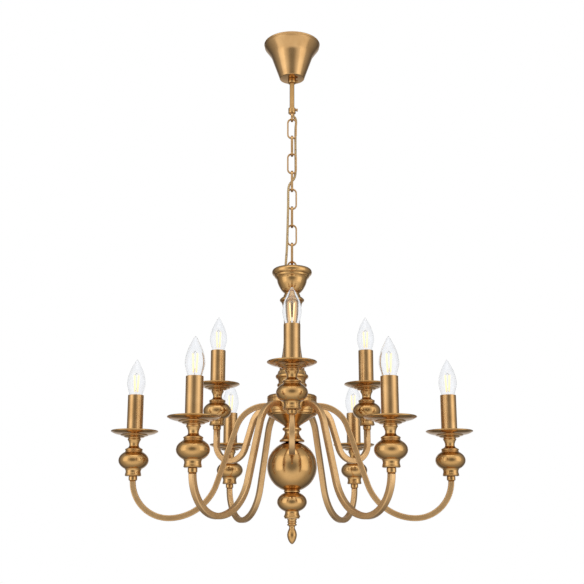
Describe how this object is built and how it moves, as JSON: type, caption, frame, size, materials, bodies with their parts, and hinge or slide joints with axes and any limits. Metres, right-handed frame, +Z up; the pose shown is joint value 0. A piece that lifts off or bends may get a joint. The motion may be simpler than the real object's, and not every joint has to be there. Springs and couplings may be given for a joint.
{
  "type": "multi arm chandelier",
  "caption": "Two tier brass chandelier with candle lights on curved square-tube arms, hung by a link chain and rod from a flared ceiling canopy.",
  "frame": {"origin": "centre of the ceiling bracket's slots on the ceiling plane, on the chandelier's axis", "axes": "+Z up along the axis; -Y is the front, where one upper light stands between two lower lights; +X right"},
  "size_m": [0.7, 0.6184, 1.042],
  "materials": {
    "aged_brass": "satin aged",
    "brushed_brass": "brushed",
    "steel": "zinc plated",
    "bulb_glass": "clear",
    "cable": "gold tinted clear sheath",
    "lamp_holder": "moulded"
  },
  "bodies": {
    "ceiling": {"ceiling_bracket": "steel", "rod_lock_nut": "steel", "hanging_rod": "aged_brass", "rod_collar": "aged_brass", "rod_loop": "aged_brass"},
    "canopy": {"canopy": "aged_brass", "canopy_collar": "aged_brass"},
    "canopy_screw": {"canopy_thumb_screw": "aged_brass"},
    "rod_screw": {"rod_thumb_screw": "aged_brass"},
    "link_1": {"chain_link_1": "aged_brass"},
    "link_2": {"chain_link_2": "aged_brass"},
    "link_3": {"chain_link_3": "aged_brass"},
    "link_4": {"chain_link_4": "aged_brass"},
    "link_5": {"chain_link_5": "aged_brass"},
    "link_6": {"chain_link_6": "aged_brass"},
    "link_7": {"chain_link_7": "aged_brass"},
    "link_8": {"chain_link_8": "aged_brass"},
    "fixture": {"cup_loop": "aged_brass", "top_cup": "aged_brass", "column": "aged_brass", "column_collar": "aged_brass", "tie_rod": "steel", "cable_splice": "lamp_holder", "hub_cover": "aged_brass", "hub": "aged_brass", "hub_underside": "aged_brass", "lower_neck": "aged_brass", "large_ball": "aged_brass", "ball_ring": "aged_brass", "small_ball": "aged_brass", "arm_nuts": "steel", "arm_1": "aged_brass", "arm_2": "aged_brass", "arm_3": "aged_brass", "arm_4": "aged_brass", "arm_5": "aged_brass", "arm_6": "aged_brass", "arm_7": "aged_brass", "arm_8": "aged_brass", "arm_9": "aged_brass", "lower_arm_ends": "aged_brass", "upper_arm_ends": "aged_brass", "lower_stems": "aged_brass", "upper_stems": "aged_brass", "lower_drip_pans": "aged_brass", "upper_drip_pans": "aged_brass", "lower_candle_sleeves": "brushed_brass", "upper_candle_sleeves": "brushed_brass", "lamp_holders": "lamp_holder", "supply_cable": "cable"},
    "bulb_1": {"bulb_1": "bulb_glass"},
    "bulb_2": {"bulb_2": "bulb_glass"},
    "bulb_3": {"bulb_3": "bulb_glass"},
    "bulb_4": {"bulb_4": "bulb_glass"},
    "bulb_5": {"bulb_5": "bulb_glass"},
    "bulb_6": {"bulb_6": "bulb_glass"},
    "bulb_7": {"bulb_7": "bulb_glass"},
    "bulb_8": {"bulb_8": "bulb_glass"},
    "bulb_9": {"bulb_9": "bulb_glass"},
    "finial": {"finial": "aged_brass"}
  },
  "joints": [
    {"name": "canopy_slide", "type": "slide", "parent": "ceiling", "child": "canopy", "axis": [0, 0, 1], "range_m": [-0.05, 0]},
    {"name": "canopy_screw_turn", "type": "hinge", "parent": "canopy", "child": "canopy_screw", "pos_m": [0, 0, -0.0865], "axis": [1, 0, 0], "range_deg": [0, 720]},
    {"name": "rod_screw_turn", "type": "hinge", "parent": "ceiling", "child": "rod_screw", "pos_m": [0, 0, -0.1522], "axis": [1, 0, 0], "range_deg": [0, 720]},
    {"name": "link_1_swing", "type": "hinge", "parent": "ceiling", "child": "link_1", "pos_m": [0, 0, -0.1773], "axis": [0, 1, 0], "range_deg": [-8, 8], "deforming": ["supply_cable"]},
    {"name": "link_2_swing", "type": "hinge", "parent": "link_1", "child": "link_2", "pos_m": [0, 0, -0.2163], "axis": [1, 0, 0], "range_deg": [-8, 8], "deforming": ["supply_cable"]},
    {"name": "link_3_swing", "type": "hinge", "parent": "link_2", "child": "link_3", "pos_m": [0, 0, -0.2553], "axis": [0, 1, 0], "range_deg": [-8, 8], "deforming": ["supply_cable"]},
    {"name": "link_4_swing", "type": "hinge", "parent": "link_3", "child": "link_4", "pos_m": [0, 0, -0.2943], "axis": [1, 0, 0], "range_deg": [-8, 8], "deforming": ["supply_cable"]},
    {"name": "link_5_swing", "type": "hinge", "parent": "link_4", "child": "link_5", "pos_m": [0, 0, -0.3333], "axis": [0, 1, 0], "range_deg": [-8, 8], "deforming": ["supply_cable"]},
    {"name": "link_6_swing", "type": "hinge", "parent": "link_5", "child": "link_6", "pos_m": [0, 0, -0.3723], "axis": [1, 0, 0], "range_deg": [-8, 8], "deforming": ["supply_cable"]},
    {"name": "link_7_swing", "type": "hinge", "parent": "link_6", "child": "link_7", "pos_m": [0, 0, -0.4113], "axis": [0, 1, 0], "range_deg": [-8, 8], "deforming": ["supply_cable"]},
    {"name": "link_8_swing", "type": "hinge", "parent": "link_7", "child": "link_8", "pos_m": [0, 0, -0.4503], "axis": [1, 0, 0], "range_deg": [-8, 8], "deforming": ["supply_cable"]},
    {"name": "fixture_swing", "type": "hinge", "parent": "link_8", "child": "fixture", "pos_m": [0, 0, -0.4893], "axis": [0, 1, 0], "range_deg": [-8, 8], "deforming": ["supply_cable"]},
    {"name": "bulb_1_unscrew", "type": "hinge", "parent": "fixture", "child": "bulb_1", "pos_m": [-0.16745, -0.25492, -0.79], "axis": [0, 0, 1], "range_deg": [0, 1080]},
    {"name": "bulb_2_unscrew", "type": "hinge", "parent": "fixture", "child": "bulb_2", "pos_m": [0.16745, -0.25492, -0.79], "axis": [0, 0, 1], "range_deg": [0, 1080]},
    {"name": "bulb_3_unscrew", "type": "hinge", "parent": "fixture", "child": "bulb_3", "pos_m": [0.30449, -0.01756, -0.79], "axis": [0, 0, 1], "range_deg": [0, 1080]},
    {"name": "bulb_4_unscrew", "type": "hinge", "parent": "fixture", "child": "bulb_4", "pos_m": [0.13704, 0.27248, -0.79], "axis": [0, 0, 1], "range_deg": [0, 1080]},
    {"name": "bulb_5_unscrew", "type": "hinge", "parent": "fixture", "child": "bulb_5", "pos_m": [-0.13704, 0.27248, -0.79], "axis": [0, 0, 1], "range_deg": [0, 1080]},
    {"name": "bulb_6_unscrew", "type": "hinge", "parent": "fixture", "child": "bulb_6", "pos_m": [-0.30449, -0.01756, -0.79], "axis": [0, 0, 1], "range_deg": [0, 1080]},
    {"name": "bulb_7_unscrew", "type": "hinge", "parent": "fixture", "child": "bulb_7", "pos_m": [0, -0.177, -0.682], "axis": [0, 0, 1], "range_deg": [0, 1080]},
    {"name": "bulb_8_unscrew", "type": "hinge", "parent": "fixture", "child": "bulb_8", "pos_m": [0.15329, 0.0885, -0.682], "axis": [0, 0, 1], "range_deg": [0, 1080]},
    {"name": "bulb_9_unscrew", "type": "hinge", "parent": "fixture", "child": "bulb_9", "pos_m": [-0.15329, 0.0885, -0.682], "axis": [0, 0, 1], "range_deg": [0, 1080]},
    {"name": "finial_unscrew", "type": "hinge", "parent": "fixture", "child": "finial", "pos_m": [0, 0, -1], "axis": [0, 0, -1], "range_deg": [0, 1080]}
  ]
}
